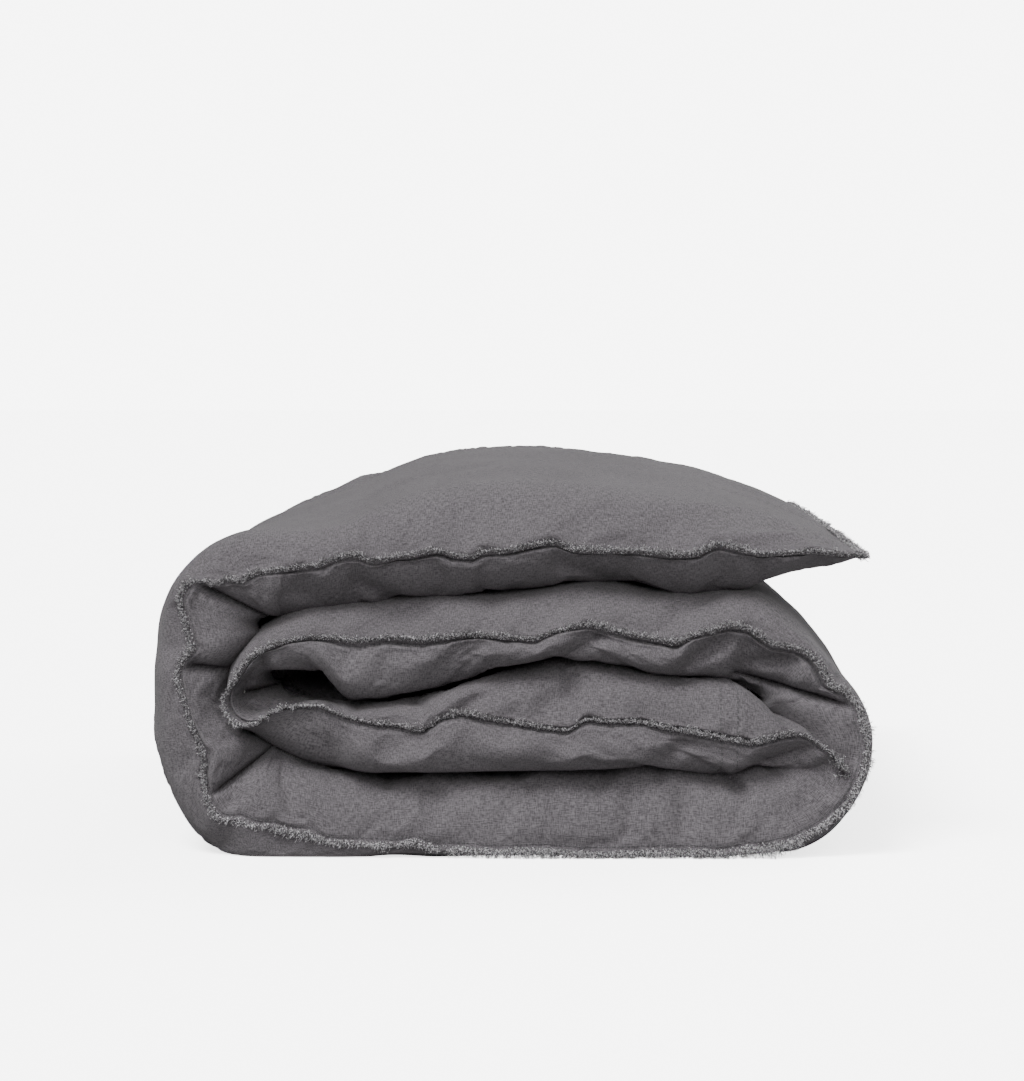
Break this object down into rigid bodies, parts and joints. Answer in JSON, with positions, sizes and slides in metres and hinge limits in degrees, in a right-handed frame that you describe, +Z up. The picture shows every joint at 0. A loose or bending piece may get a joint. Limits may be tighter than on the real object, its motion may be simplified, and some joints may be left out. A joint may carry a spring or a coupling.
{
  "type": "folded duvet",
  "caption": "Down duvet in a frayed-edge linen cover, folded double and rolled into a flat stack, with a top flap and side that unroll",
  "frame": {"origin": "on the surface that the roll lies on, under the centre of its bounding box", "axes": "+Y from the frayed front edge to the back fold, +Z up, +X from the folded side to the free end of the flap"},
  "size_m": [0.474, 0.66, 0.2684],
  "materials": {
    "linen": "washed charcoal linen, matt",
    "frayed_linen": "loose linen threads, matt",
    "lining_linen": "washed charcoal linen, matt",
    "down_proof_cotton": "off-white down-proof cotton, matt",
    "cotton_tape": "grey cotton tape, matt",
    "shell_button": "polished shell",
    "label_tape": "blank woven tape, satin"
  },
  "bodies": {
    "base": {"cover_top_panel_floor": "linen", "cover_top_panel_roll": "linen", "cover_bottom_panel_base": "lining_linen", "frayed_edge_front_base": "frayed_linen", "frayed_edge_inner_base": "frayed_linen", "frayed_edge_foot": "frayed_linen", "duvet_outer_chamber_floor_1": "down_proof_cotton", "duvet_inner_chamber_floor_1": "down_proof_cotton", "duvet_outer_chamber_floor_2": "down_proof_cotton", "duvet_inner_chamber_floor_2": "down_proof_cotton", "duvet_outer_chamber_lower_right": "down_proof_cotton", "duvet_inner_chamber_lower_right": "down_proof_cotton", "duvet_outer_chamber_upper_right": "down_proof_cotton", "duvet_inner_chamber_upper_right": "down_proof_cotton", "duvet_outer_chamber_upper_1": "down_proof_cotton", "duvet_inner_chamber_upper_1": "down_proof_cotton", "duvet_outer_chamber_upper_2": "down_proof_cotton", "duvet_inner_chamber_upper_2": "down_proof_cotton", "duvet_outer_chamber_inner": "down_proof_cotton", "duvet_inner_chamber_inner": "down_proof_cotton", "duvet_outer_chamber_lower_1": "down_proof_cotton", "duvet_inner_chamber_lower_1": "down_proof_cotton", "duvet_outer_chamber_lower_2": "down_proof_cotton", "duvet_inner_chamber_lower_2": "down_proof_cotton", "duvet_outer_chamber_lower_left": "down_proof_cotton", "duvet_inner_chamber_lower_left": "down_proof_cotton", "closure_facing_outer": "linen", "closure_facing_inner": "linen", "button_outer_1": "shell_button", "button_outer_2": "shell_button", "button_inner_1": "shell_button", "button_inner_2": "shell_button", "corner_tie_foot_outer": "cotton_tape", "corner_tie_foot_inner": "cotton_tape", "care_label": "label_tape"},
    "side": {"cover_top_panel_side": "linen", "cover_bottom_panel_side": "lining_linen", "frayed_edge_front_side": "frayed_linen", "frayed_edge_inner_side": "frayed_linen", "duvet_outer_chamber_upper_left": "down_proof_cotton", "duvet_inner_chamber_upper_left": "down_proof_cotton", "duvet_outer_chamber_left": "down_proof_cotton", "duvet_inner_chamber_left": "down_proof_cotton"},
    "flap": {"cover_top_panel_flap": "linen", "cover_bottom_panel_flap": "lining_linen", "frayed_edge_front_flap": "frayed_linen", "frayed_edge_inner_flap": "frayed_linen", "frayed_edge_head": "frayed_linen", "duvet_outer_chamber_flap_1": "down_proof_cotton", "duvet_inner_chamber_flap_1": "down_proof_cotton", "duvet_outer_chamber_flap_2": "down_proof_cotton", "duvet_inner_chamber_flap_2": "down_proof_cotton", "duvet_outer_chamber_flap_3": "down_proof_cotton", "duvet_inner_chamber_flap_3": "down_proof_cotton", "corner_tie_head_outer": "cotton_tape", "corner_tie_head_inner": "cotton_tape"}
  },
  "joints": [
    {"name": "side_unroll", "type": "hinge", "parent": "base", "child": "side", "pos_m": [-0.1972, 0, 0.0398], "axis": [0, -1, 0], "range_deg": [0, 84], "deforming": ["cover_top_panel_side", "cover_bottom_panel_side", "frayed_edge_front_side", "frayed_edge_inner_side", "duvet_outer_chamber_lower_left", "duvet_inner_chamber_lower_left"]},
    {"name": "flap_unroll", "type": "hinge", "parent": "side", "child": "flap", "pos_m": [-0.1972, 0, 0.1872], "axis": [0, -1, 0], "range_deg": [0, 84], "deforming": ["duvet_outer_chamber_upper_left", "duvet_inner_chamber_upper_left"]}
  ],
  "couplings": [
    {"joint": "flap_unroll", "follows": "side_unroll", "ratio": 1}
  ]
}
